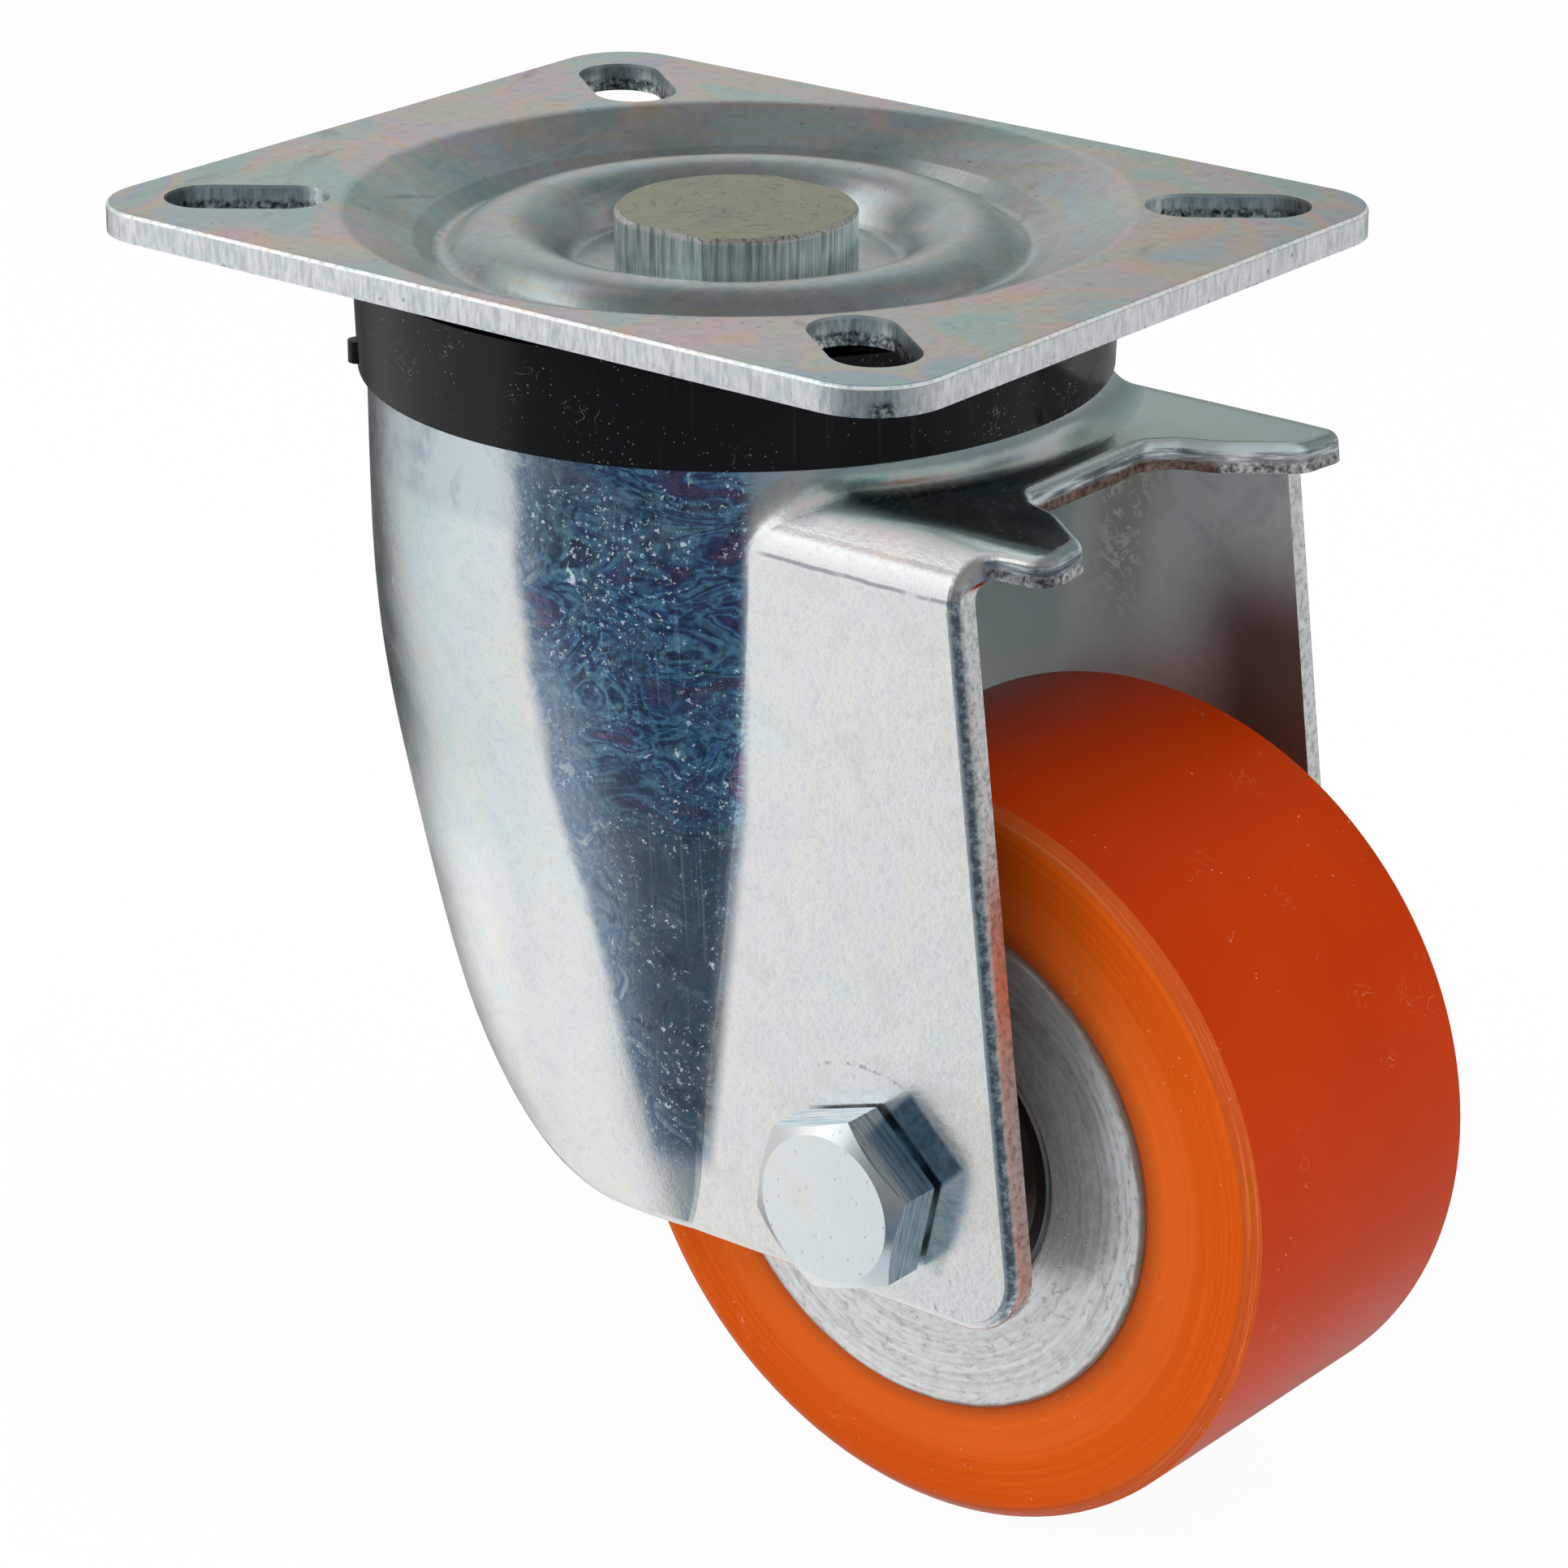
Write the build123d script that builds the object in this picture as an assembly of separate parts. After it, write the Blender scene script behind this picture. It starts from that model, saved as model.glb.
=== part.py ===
from build123d import *
import os
from math import atan2, cos, degrees, floor, pi, radians, sin, sqrt

# Swivel castor with a top plate, a pressed fork and an 80 mm wheel on ball bearings.
# Origin: centre of the plate's top face, on the swivel axis. +Z up, +X towards the trailing wheel,
# Y along the axle, with the bolt head on the -Y side. Millimetres.

# ---- driving dimensions ----
plate_length = 105.0
plate_width = 85.0
plate_corner = 8.0
sheet = 3.0                      # thickness of the plate and of the fork
plate_arris = 0.5                # rolled-over upper corner of the plate's sheared edge
slot_inset = 12.5                # centre of each slot from the plate's two nearest edges
slot_width = 9.0
slot_length = 17.0

overall_height = 128.0
wheel_diameter = 80.0
tread_width = 38.6
hub_width = 40.0
trail = 40.0                     # swivel axis to axle
leg_gap = 52.8                   # between the inner faces of the two legs

slide_gap = 0.05                 # radial clearance of running fits and of loose bores
seat_gap = 0.02                  # radial clearance of pressed and bonded fits

hole_spacing_x = plate_length - 2 * slot_inset
hole_spacing_y = plate_width - 2 * slot_inset
axle_z = wheel_diameter / 2 - overall_height
leg_inner = leg_gap / 2
leg_outer = leg_inner + sheet
clear_of_all = 2 * (overall_height + plate_length)   # longer than the castor in every direction

# ---- dish in the plate ----
dome_radius = 38.0               # crown of the fork, which turns inside the dish
dish_radius = dome_radius + 2.5
dish_lip_radius = dish_radius - 7.5
dish_lip_depth = 3.0
dish_floor = -6.3
ridge_crest = -1.7
ridge_outer_angle = 33.5         # where the ridge's outer flank ends, degrees above its ball line

# ---- swivel race ----
upper_ball = 8.0
upper_ball_step = 1.175          # centre to centre, in ball diameters
upper_race_radius = dome_radius - 14.0
upper_ball_count = floor(2 * pi * upper_race_radius / (upper_ball * upper_ball_step))
lower_ball = 6.0
lower_ball_step = 1.3
lower_race_radius = upper_race_radius - 6.5
lower_ball_count = floor(2 * pi * lower_race_radius / (lower_ball * lower_ball_step))
upper_groove = upper_ball / 2 + slide_gap
lower_groove = lower_ball / 2 + slide_gap
upper_ball_z = ridge_crest - sheet - upper_groove

# ---- fork crown ----
dome_shoulder = 5.0
dome_top = upper_ball_z - 1.76
dome_flat_radius = dome_radius - dome_shoulder
crown_inner_top = dome_top - 1.5
crown_hole = 12.0
race_lift = 2.2                  # from the lower balls' centres to the faces above and below them
crown_underside = crown_inner_top - sheet
lower_ball_z = crown_underside - race_lift

# ---- fork shelf, ears and legs ----
shelf_drop = 8.5                 # from the crown's flat down to the shelf
shelf_reach = 6.5                # shelf's front edge ahead of the dome
ear_reach = 13.8                 # tips of the ears ahead of the shelf's front edge
ear_setback = 3.4                # outer side of each ear, in from the outer face of its leg
ear_width = 12.6
ear_notch = 9.5                  # half width of the straight front edge between the ears
ear_root = 2.0                   # hollow corner between each ear's underside and its leg
bend_outer = 6.0
leg_front_margin = 18.2          # leg's front edge ahead of the axle, at the bottom
leg_lower_margin = 12.0          # leg's lower edge below the axle
leg_corner = 6.5
heel_setback = 33.5              # where the lower edge starts to rise, behind the axle
heel_length = 21.0               # curved part of the rising edge
heel_rise = 8.7
tail_length = 13.5               # straight part behind it
tail_rise = 11.3
tail_end_rise = 8.0
axle_hole = 5.25
shelf_top = dome_top - shelf_drop
bend_inner = bend_outer - sheet
bend_bottom = shelf_top - bend_outer
shelf_front = dome_radius + shelf_reach
leg_front_top = shelf_front + 6.2
leg_front_bottom = trail + leg_front_margin
leg_bottom = axle_z - leg_lower_margin
leg_lean = (leg_front_bottom - leg_front_top) / (bend_bottom - axle_z)
crease_blend = 4.0               # outside radius between the rounded back, the shelf and the legs
leg_arris = 1.2                  # rolled-over outer corner of the legs' front edges and of the ears

# ---- dust ring ----
ring_wall = 1.25
ring_flange = 1.2
ring_seat = 2.5                  # how far the flange reaches in over the crown's flat
ring_top = dome_top + 5.7
lug_angle = 223.0

# ---- kingpin ----
head_radius = 12.5
head_flat = 11.5
head_top = -0.5
kingpin_neck = 9.0
kingpin_thread = 8.0
nut_height = 10.0
nut_width = 24.0
cup_radius = lower_race_radius + 4.5
cup_rim = 2.4
cup_top = lower_ball_z - race_lift
cup_bottom = cup_top - sheet

# ---- wheel ----
tread_radius = wheel_diameter / 2
core_radius = 27.3
tread_shoulder = 1.4             # bevel between the tread and each side, sharp at the tread
tread_blend = 2.2                # radius where the bevel meets the side

# ---- ball bearings ----
bearing_bore = 6.0
bearing_outer = 16.0
bearing_width = 10.0
bearing_recess = 0.5
bearing_pitch = 11.0
bearing_ball = 5.9
bearing_ball_count = 7
bearing_groove = bearing_ball / 2 + slide_gap
inner_land = 8.6
outer_land = 13.4
shield_radius = 13.9
shield_sheet = 0.5
shield_depth = 0.5
shoulder_radius = 13.0           # step in the core between the two bearings
bearing_mid = hub_width / 2 - bearing_recess - bearing_width / 2

# ---- axle ----
bolt_radius = 5.0
bolt_length = 70.0
bolt_head = 6.4                  # with the washer face under it
washer_face = 0.6
hexagon = 17.0
turned_face = 0.455              # radius of the turned circle on a hexagon's face, in widths
bolt_turn = 137.7                # one corner of the head, degrees from +X towards +Z
sleeve_outer = bearing_bore - seat_gap
spacer_outer = 8.4
axle_nut_height = 10.0
nut_collar = 7.3
insert_radius = 6.6              # nylon locking ring in the nut
insert_height = 2.2
insert_depth = 1.7               # from the nut's end to the ring's mid height


def section(*points):
    """Closed outline in the X-Z half plane, for turning about Z."""
    return Plane.XZ * make_face(Polyline(*points, close=True))


def turned(*points):
    return revolve(section(*points), Axis.Z, 360)


def on_axle(distance=0.0):
    """Place that stands on the axle, local +Z towards the bolt head, local +X towards the front."""
    return Location((trail, -distance, axle_z), (90, 0, 0))


def one_solid(shape):
    return shape.solids()[0]


def hexagon_bar(width, height, chamfer_top=True, chamfer_bottom=False):
    """Upright hexagonal bar from z = 0, with its corners turned off at 30 degrees."""
    corner = width / sqrt(3)
    far = width
    face = turned_face * width
    drop = (far - face) / sqrt(3)
    bar = extrude(RegularPolygon(corner, 6), height)
    top_cone = turned((0, height), (face, height), (far, height - drop), (far, -drop), (0, -drop))
    bottom_cone = turned((0, 0), (face, 0), (far, drop), (far, height + drop), (0, height + drop))
    if chamfer_top:
        bar = bar & top_cone
    if chamfer_bottom:
        bar = bar & bottom_cone
    return bar


# ---------------------------------------------------------------- top plate
def dish_line():
    """Upper line of the pressed dish, from the plate's edge in to the axis, as one closed region."""
    ridge_radius = upper_groove + sheet
    flank = radians(ridge_outer_angle)
    foot_out = (upper_race_radius + ridge_radius * cos(flank), upper_ball_z + ridge_radius * sin(flank))
    rise = dish_floor - upper_ball_z
    foot_in = (upper_race_radius - sqrt(ridge_radius**2 - rise**2), dish_floor)
    crest = (upper_race_radius, ridge_crest)
    far = clear_of_all
    outline = Polyline(
        foot_in, (-far, dish_floor), (-far, -far), (far, -far), (far, 0), (dish_radius, 0),
        (dish_lip_radius, -dish_lip_depth), foot_out,
    )
    face = make_face(outline + ThreePointArc(foot_out, crest, foot_in))
    corners = face.vertices().filter_by(lambda v: abs(v.X) < far - 1 and v.Y > -far / 2)
    outer = corners.sort_by(Axis.X)[-1]
    rest = [v for v in corners if v is not outer]
    face = fillet(rest, sheet / 2)
    outer = face.vertices().filter_by(lambda v: abs(v.Y) < 1e-6).sort_by(Axis.X)[0]
    return fillet(outer, sheet)


def beside_axis(region, height):
    """The part of a region to the right of the axis and above a height, turned once round the axis."""
    window = Pos(clear_of_all / 2, clear_of_all / 2 + height) * Rectangle(clear_of_all, clear_of_all)
    return revolve(Plane.XZ * (region & window), Axis.Z, 360)


def top_plate():
    under = dish_floor - 2 * sheet
    line = dish_line()
    pressed = beside_axis(line - offset(line, -sheet), under)
    outline = RectangleRounded(plate_length, plate_width, plate_corner)
    plate = pressed & extrude(Pos(0, 0, under) * outline, 2 * abs(under))
    top_edges = plate.edges().filter_by(lambda e: abs(e.center().Z) < 0.001)
    rim = top_edges.filter_by(lambda e: e.center().length > dish_radius + 1)
    plate = fillet(rim, plate_arris)
    slot_angle = degrees(atan2(hole_spacing_y, hole_spacing_x))
    slot = extrude(SlotOverall(slot_length, slot_width), 2 * abs(under))
    for side_x in (1, -1):
        for side_y in (1, -1):
            plate -= Location((side_x * hole_spacing_x / 2, side_y * hole_spacing_y / 2, under),
                              (0, 0, side_x * side_y * slot_angle)) * slot
    plate -= Pos(0, 0, dish_floor) * Cylinder(kingpin_neck + seat_gap, 4 * sheet)
    return one_solid(plate)


# ---------------------------------------------------------------- kingpin, cup and nut
def kingpin():
    neck_end = cup_top
    tip = cup_bottom - nut_height - 2.0
    pin = turned(
        (0, head_top), (head_radius - 0.4, head_top), (head_radius, head_top - 0.4),
        (head_radius, dish_floor), (kingpin_neck, dish_floor), (kingpin_neck, neck_end),
        (kingpin_thread, neck_end), (kingpin_thread, tip + 1.0), (kingpin_thread - 1.0, tip), (0, tip),
    )
    flats = Box(4 * head_radius, 2 * head_flat, 4 * abs(tip))
    shank = Cylinder(kingpin_neck + seat_gap, 4 * abs(tip))
    return one_solid(pin & (flats + shank))


def lower_race_cup():
    dish = turned(
        (kingpin_thread + slide_gap, cup_bottom), (cup_radius, cup_bottom), (cup_radius, cup_top + cup_rim),
        (cup_radius - 1.4, cup_top + cup_rim), (cup_radius - 1.4, cup_top),
        (kingpin_thread + slide_gap, cup_top),
    )
    return one_solid(dish - Pos(0, 0, lower_ball_z) * Torus(lower_race_radius, lower_groove))


def kingpin_nut():
    bar = hexagon_bar(nut_width, nut_height, True, True)
    bar -= Pos(0, 0, nut_height / 2) * Cylinder(kingpin_thread + slide_gap, 2 * nut_height)
    return one_solid(Pos(0, 0, cup_bottom - nut_height) * bar)


def ball_row(count, pitch_radius, diameter, height):
    return [Pos(*place) * Sphere(diameter / 2) for place in (
        (pitch_radius * cos(radians(360 * i / count)), pitch_radius * sin(radians(360 * i / count)), height)
        for i in range(count))]


# ---------------------------------------------------------------- dust ring
def dust_ring():
    bore = dome_radius + slide_gap
    bottom = dome_top - dome_shoulder - 0.6
    flange_bore = dome_flat_radius - ring_seat
    flange_top = dome_top + ring_flange
    ring = turned(
        (bore, bottom + 1.1), (bore + 0.35, bottom), (bore + ring_wall - 0.35, bottom),
        (bore + ring_wall, ring_top), (bore, ring_top), (bore, flange_top), (flange_bore, flange_top),
        (flange_bore, dome_top), (bore, dome_top),
    )
    lug = Rot(Z=lug_angle) * Pos(bore + 0.75, 0, bottom + 1.15) * Cylinder(1.1, 2.3)
    dome = Pos(0, 0, bottom) * Cylinder(bore + 0.36, 4 * ring_wall)
    return one_solid(ring + (lug - dome))


# ---------------------------------------------------------------- fork
# Cross-sections of the rounded back, from the bend down to the legs' lower edge: share of that height,
# centre's shift towards the wheel and added half length (both in dome radii), and share of the dome's
# extra width over the legs.
back_sections = (
    (-0.16, 0.0, 0.0, 1.0),
    (-0.08, 0.0, 0.0, 1.0),
    (0.0, 0.0, 0.0, 1.0),
    (0.16, 0.008, 0.032, 0.85),
    (0.333, 0.047, 0.089, 0.56),
    (0.507, 0.116, 0.116, 0.33),
    (0.68, 0.166, 0.071, 0.22),
    (0.867, 0.232, -0.016, 0.13),
    (1.053, 0.303, -0.124, 0.035),
)
back_joint_x = 0.3 * trail       # the flat legs run back to here, inside the rounded back
back_height = bend_bottom - leg_bottom
back_end = bend_bottom - back_sections[-1][0] * back_height


def rounded_back(inset):
    rings = []
    for share, shift, longer, wider in back_sections:
        half_length = dome_radius * (1 + longer) - inset
        half_width = leg_outer + wider * (dome_radius - leg_outer) - inset
        place = Pos(dome_radius * shift, 0, bend_bottom - share * back_height)
        rings.append(place * Ellipse(half_length, half_width))
    below_bend = Pos(0, 0, bend_bottom - clear_of_all / 2) * Box(clear_of_all, clear_of_all, clear_of_all)
    return loft(Sketch() + rings) & below_bend


def leg_tunnel(half_width, top, bend):
    """Block with the outline of the two legs and the shelf that joins them."""
    profile = Pos(0, (top + back_end) / 2) * Rectangle(2 * half_width, top - back_end)
    block = extrude(Plane.YZ.offset(back_joint_x) * profile, clear_of_all)
    edges = block.edges().filter_by(Axis.X).group_by(Axis.Z)[-1]
    return fillet(edges, bend)


def crown_line():
    """Upper line of the crown from the wall in to the axis, as one closed region."""
    far = clear_of_all
    drop_out = dome_top - upper_ball_z
    drop_in = crown_inner_top - upper_ball_z
    groove_out = (upper_race_radius + sqrt(upper_groove**2 - drop_out**2), dome_top)
    groove_in = (upper_race_radius - sqrt(upper_groove**2 - drop_in**2), crown_inner_top)
    groove_low = (upper_race_radius, upper_ball_z - upper_groove)
    outline = Polyline(
        groove_in, (-far, crown_inner_top), (-far, -far), (dome_radius, -far), (dome_radius, dome_top),
        groove_out,
    )
    face = make_face(outline + ThreePointArc(groove_out, groove_low, groove_in))
    shoulder = face.vertices().filter_by(lambda v: v.Y > -far / 2).sort_by(Axis.X)[-1]
    return fillet(shoulder, dome_shoulder)


def side_outline():
    """Legs and back below the bend, seen from the side."""
    far = clear_of_all / 2
    front_low = leg_front_bottom + leg_lean * leg_lower_margin
    heel = (trail - heel_setback, leg_bottom)
    heel_turn = (heel[0] - 0.524 * heel_length, leg_bottom + 0.276 * heel_rise)
    heel_end = (heel[0] - heel_length, leg_bottom + heel_rise)
    tail = (heel_end[0] - tail_length, heel_end[1] + tail_rise)
    edge = Polyline((-far, bend_bottom), (leg_front_top, bend_bottom), (front_low, leg_bottom), heel)
    back = Polyline(heel_end, tail, (-far, tail[1] + tail_end_rise), (-far, bend_bottom))
    face = make_face(edge + ThreePointArc(heel, heel_turn, heel_end) + back)
    toe = face.vertices().sort_by_distance((front_low, leg_bottom, 0))[0]
    return extrude(Plane.XZ * fillet(toe, leg_corner), far, both=True)


def ear_outline():
    """Crown and shelf above the bend, seen from above, with the two forward ears. The cut leans as
    the legs' front edges do, so that each edge runs on round the bend into its ear."""
    far = clear_of_all / 2
    root = shelf_front + leg_lean * bend_outer
    tip = root + ear_reach
    outer = leg_outer - ear_setback
    inner = outer - ear_width
    half = [(root, ear_notch), (root + 2.4, inner - 1.4), (root + 0.45 * ear_reach, inner),
            (tip - 0.8, outer - 7.4), (tip, outer - 0.5), (root + 0.6 * ear_reach, outer),
            (leg_front_top, leg_outer - 2.5), (leg_front_top, far)]
    radii = [2.6, 3.0, 4.0, 3.0, 2.4, 3.0, 3.0]
    mirror_half = [(x, -y) for x, y in reversed(half)]
    face = make_face(Polyline(*half, (-far, far), (-far, -far), *mirror_half, close=True))
    for (x, y), radius in zip(half, radii):
        for side in (1, -1):
            corner = face.vertices().sort_by_distance((x, side * y, 0))[0]
            face = fillet(corner, radius)
    return extrude(Pos(0, 0, bend_bottom) * face, far, dir=(-leg_lean, 0, 1))


def below_ears():
    """Room under the ears and ahead of the legs' front edges, seen from the side."""
    far = clear_of_all / 2
    underside = shelf_top - sheet
    corner = (leg_front_top - leg_lean * (underside - bend_bottom), underside)
    below = (leg_front_top + leg_lean * bend_outer, bend_bottom - bend_outer)
    face = make_face(Polyline(corner, (far, underside), (far, below[1]), below, close=True))
    root_corner = face.vertices().sort_by_distance((*corner, 0))[0]
    return extrude(Plane.XZ * fillet(root_corner, ear_root), far, both=True)


def fork_block(region, inset, blend):
    """Crown, rounded back and legs as one block, with the hollow crease between them blended."""
    half_width = leg_outer - inset
    block = beside_axis(region, bend_bottom) + rounded_back(inset)
    block += leg_tunnel(half_width, shelf_top - inset, bend_outer - inset)
    creases = block.edges().filter_by(GeomType.BSPLINE)
    creases = creases.filter_by(lambda e: abs(abs(e.center().Y) - half_width) < 0.1)
    return fillet(creases, blend)


def fork():
    region = crown_line()
    shell = fork_block(region, 0, crease_blend)
    shell -= fork_block(offset(region, -sheet), sheet, crease_blend + sheet)
    legs = shell & side_outline()
    outer_edges = legs.edges().filter_by(lambda e: abs(e.center().Y) > leg_inner + sheet / 2)
    front = outer_edges.filter_by(lambda e: e.center().X > leg_front_top and e.length > back_height / 2)
    ears = shell & ear_outline()
    crest = ears.edges().filter_by(lambda e: abs(e.center().Z - shelf_top) < 0.001
                                   and abs(e.center().Y) < 1 and e.center().X > dome_radius)
    shell = fillet(front, leg_arris) + (fillet(crest, leg_arris) - below_ears())
    shell -= Pos(0, 0, crown_inner_top) * Cylinder(crown_hole, 4 * sheet)
    shell -= Pos(0, 0, lower_ball_z) * Torus(lower_race_radius, lower_groove)
    shell -= on_axle() * Cylinder(axle_hole, clear_of_all)
    return one_solid(shell)


# ---------------------------------------------------------------- axle
def axle_bolt():
    head = Pos(0, 0, washer_face) * Rot(Z=bolt_turn) * hexagon_bar(hexagon, bolt_head - washer_face)
    head += Pos(0, 0, washer_face / 2) * Cylinder(0.94 * hexagon / 2, washer_face)
    tip = -bolt_length
    shank = turned((0, 1), (bolt_radius, 1), (bolt_radius, tip + 1.2), (bolt_radius - 1.0, tip), (0, tip))
    return one_solid(on_axle(leg_outer) * (head + shank))


def axle_nut():
    bar = Rot(Z=10) * hexagon_bar(hexagon, 0.76 * axle_nut_height, True, True)
    collar = Pos(0, 0, 0.65 * axle_nut_height) * Cylinder(nut_collar, 0.7 * axle_nut_height)
    nut = bar + collar
    nut -= Pos(0, 0, axle_nut_height / 2) * Cylinder(bolt_radius + slide_gap, 2 * axle_nut_height)
    nut -= Pos(0, 0, axle_nut_height - insert_depth) * Cylinder(insert_radius, insert_height)
    return one_solid(Location((trail, leg_outer, axle_z), (-90, 0, 0)) * nut)


def axle_nut_insert():
    ring = Cylinder(insert_radius - seat_gap, insert_height - 2 * seat_gap)
    ring -= Cylinder(bolt_radius + seat_gap, axle_nut_height)
    middle = leg_outer + axle_nut_height - insert_depth
    return one_solid(Location((trail, middle, axle_z), (90, 0, 0)) * ring)


def tube(outer_radius, inner_radius, near, far):
    """Tube round the axle between two distances from the mid plane, counted towards the bolt head."""
    length = abs(far - near)
    wall = Cylinder(outer_radius, length) - Cylinder(inner_radius, 2 * length)
    return one_solid(on_axle((near + far) / 2) * wall)


# ---------------------------------------------------------------- wheel
def wheel_core():
    half = hub_width / 2
    step = bearing_mid - bearing_width / 2
    bore = bearing_outer + seat_gap
    core = turned(
        (shoulder_radius, step), (bore, step), (bore, half - 0.45), (bore + 0.45, half),
        (core_radius - 0.3, half), (core_radius, half - 0.3),
        (core_radius, 0.3 - half), (core_radius - 0.3, -half),
        (bore + 0.45, -half), (bore, 0.45 - half), (bore, -step), (shoulder_radius, -step),
    )
    return one_solid(on_axle() * core)


def tyre():
    half = tread_width / 2
    bore = core_radius + seat_gap
    rim = tread_radius - tread_shoulder
    ring = turned(
        (bore, -half), (rim, -half), (tread_radius, tread_shoulder - half),
        (tread_radius, half - tread_shoulder), (rim, half), (bore, half),
    )
    rims = ring.edges().filter_by(GeomType.CIRCLE).filter_by(lambda e: abs(e.radius - rim) < 0.01)
    ring = fillet(rims, tread_blend)
    return one_solid(on_axle() * ring)


def bearing_outer_ring():
    half = bearing_width / 2
    shield_seat = half - shield_depth - shield_sheet - seat_gap
    ring = turned(
        (outer_land, shield_seat), (shield_radius, shield_seat), (shield_radius, half - 0.2),
        (shield_radius + 0.2, half), (bearing_outer - 0.7, half), (bearing_outer, half - 0.7),
        (bearing_outer, 0.7 - half), (bearing_outer - 0.7, -half), (shield_radius + 0.2, -half),
        (shield_radius, 0.2 - half), (shield_radius, -shield_seat), (outer_land, -shield_seat),
    )
    return ring - Torus(bearing_pitch, bearing_groove)


def bearing_inner_ring():
    half = bearing_width / 2
    ring = turned(
        (bearing_bore + 0.4, half), (inner_land, half), (inner_land, -half), (bearing_bore + 0.4, -half),
        (bearing_bore, 0.4 - half), (bearing_bore, half - 0.4),
    )
    return ring - Torus(bearing_pitch, bearing_groove)


def bearing_cage():
    back = bearing_width / 2 - shield_depth - shield_sheet - 0.3
    pocket = bearing_ball / 2 + 0.1
    cage = turned((9.8, -back), (12.2, -back), (12.2, 0.8), (9.8, 0.8))
    for ball in ball_row(bearing_ball_count, bearing_pitch, 2 * pocket, 0):
        cage -= ball
    return cage


def bearing_shield():
    half = bearing_width / 2 - shield_depth
    rim = shield_radius - seat_gap
    return turned(
        (inner_land + 0.35, half - shield_sheet - 0.15), (inner_land + 0.35, half - 0.25),
        (9.6, half), (rim, half), (rim, half - shield_sheet), (10.0, half - shield_sheet),
    )


# ---------------------------------------------------------------- all pieces
pieces = {
    "top_plate": top_plate(),
    "kingpin": kingpin(),
    "lower_race_cup": lower_race_cup(),
    "kingpin_nut": kingpin_nut(),
    "upper_swivel_balls": Compound(ball_row(upper_ball_count, upper_race_radius, upper_ball, upper_ball_z)),
    "lower_swivel_balls": Compound(ball_row(lower_ball_count, lower_race_radius, lower_ball, lower_ball_z)),
    "dust_ring": dust_ring(),
    "fork": fork(),
    "axle_bolt": axle_bolt(),
    "axle_nut": axle_nut(),
    "axle_nut_insert": axle_nut_insert(),
    "axle_sleeve": tube(sleeve_outer, bolt_radius + slide_gap, -leg_inner, leg_inner),
    "near_spacer": tube(spacer_outer, bearing_bore, bearing_mid + bearing_width / 2, leg_inner),
    "far_spacer": tube(spacer_outer, bearing_bore, -bearing_mid - bearing_width / 2, -leg_inner),
    "distance_tube": tube(spacer_outer, bearing_bore, bearing_width / 2 - bearing_mid,
                          bearing_mid - bearing_width / 2),
    "wheel_core": wheel_core(),
    "tyre": tyre(),
}
for side, name in ((1, "near_bearing"), (-1, "far_bearing")):
    place = on_axle(side * bearing_mid)
    if side < 0:
        place = place * Rot(X=180)
    pieces[name + "_outer_ring"] = one_solid(place * bearing_outer_ring())
    pieces[name + "_inner_ring"] = one_solid(place * bearing_inner_ring())
    pieces[name + "_balls"] = Compound([place * ball for ball in
                                        ball_row(bearing_ball_count, bearing_pitch, bearing_ball, 0)])
    pieces[name + "_cage"] = one_solid(place * bearing_cage())
    pieces[name + "_outer_shield"] = one_solid(place * bearing_shield())
    pieces[name + "_inner_shield"] = one_solid(place * Rot(X=180) * bearing_shield())

os.makedirs("parts", exist_ok=True)
for name, piece in pieces.items():
    export_step(piece, "parts/" + name + ".step")
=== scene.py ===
"""Looks of the swivel castor: camera, studio and the finish of every piece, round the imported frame."""

import math
from types import SimpleNamespace

import bpy
from mathutils import Matrix, Vector

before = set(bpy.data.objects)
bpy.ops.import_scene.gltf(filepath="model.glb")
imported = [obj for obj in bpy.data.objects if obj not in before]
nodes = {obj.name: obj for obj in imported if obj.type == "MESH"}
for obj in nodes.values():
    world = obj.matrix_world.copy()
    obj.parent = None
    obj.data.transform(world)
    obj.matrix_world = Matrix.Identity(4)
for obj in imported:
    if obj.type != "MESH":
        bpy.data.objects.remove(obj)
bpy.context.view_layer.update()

# Places on the castor, in metres. The origin lies on the plate's top, on the swivel's axis.
AXLE_X = 0.040
AXLE_Z = -0.088
FLOOR_Z = -0.128
PLATE_HALF_LENGTH = 0.0525
PLATE_HALF_WIDTH = 0.0425
DISH_LIP = 0.0420               # radius where the pressed dish starts
HEAD_TOP = -0.0005              # top of the kingpin's head
SHELF_TOP = -0.0190             # upper face of the fork's shelf
LEG_FRONT = 0.0438              # forward of it, the fork's narrow faces are sheared edges
BEND_LINE = -0.0242             # where the bend above each leg runs out
FILM_END = -0.0895              # lower end of the oxide film and of its painted dark reflection on the fork
SPANNER_REACH = 0.0131          # from the axle's line to the arc that a spanner scraped
TREAD_RADIUS = 0.0400
GROOVE_RADIUS = 0.0384          # fine groove in the tread's side
CORE_RADIUS = 0.0273


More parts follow.
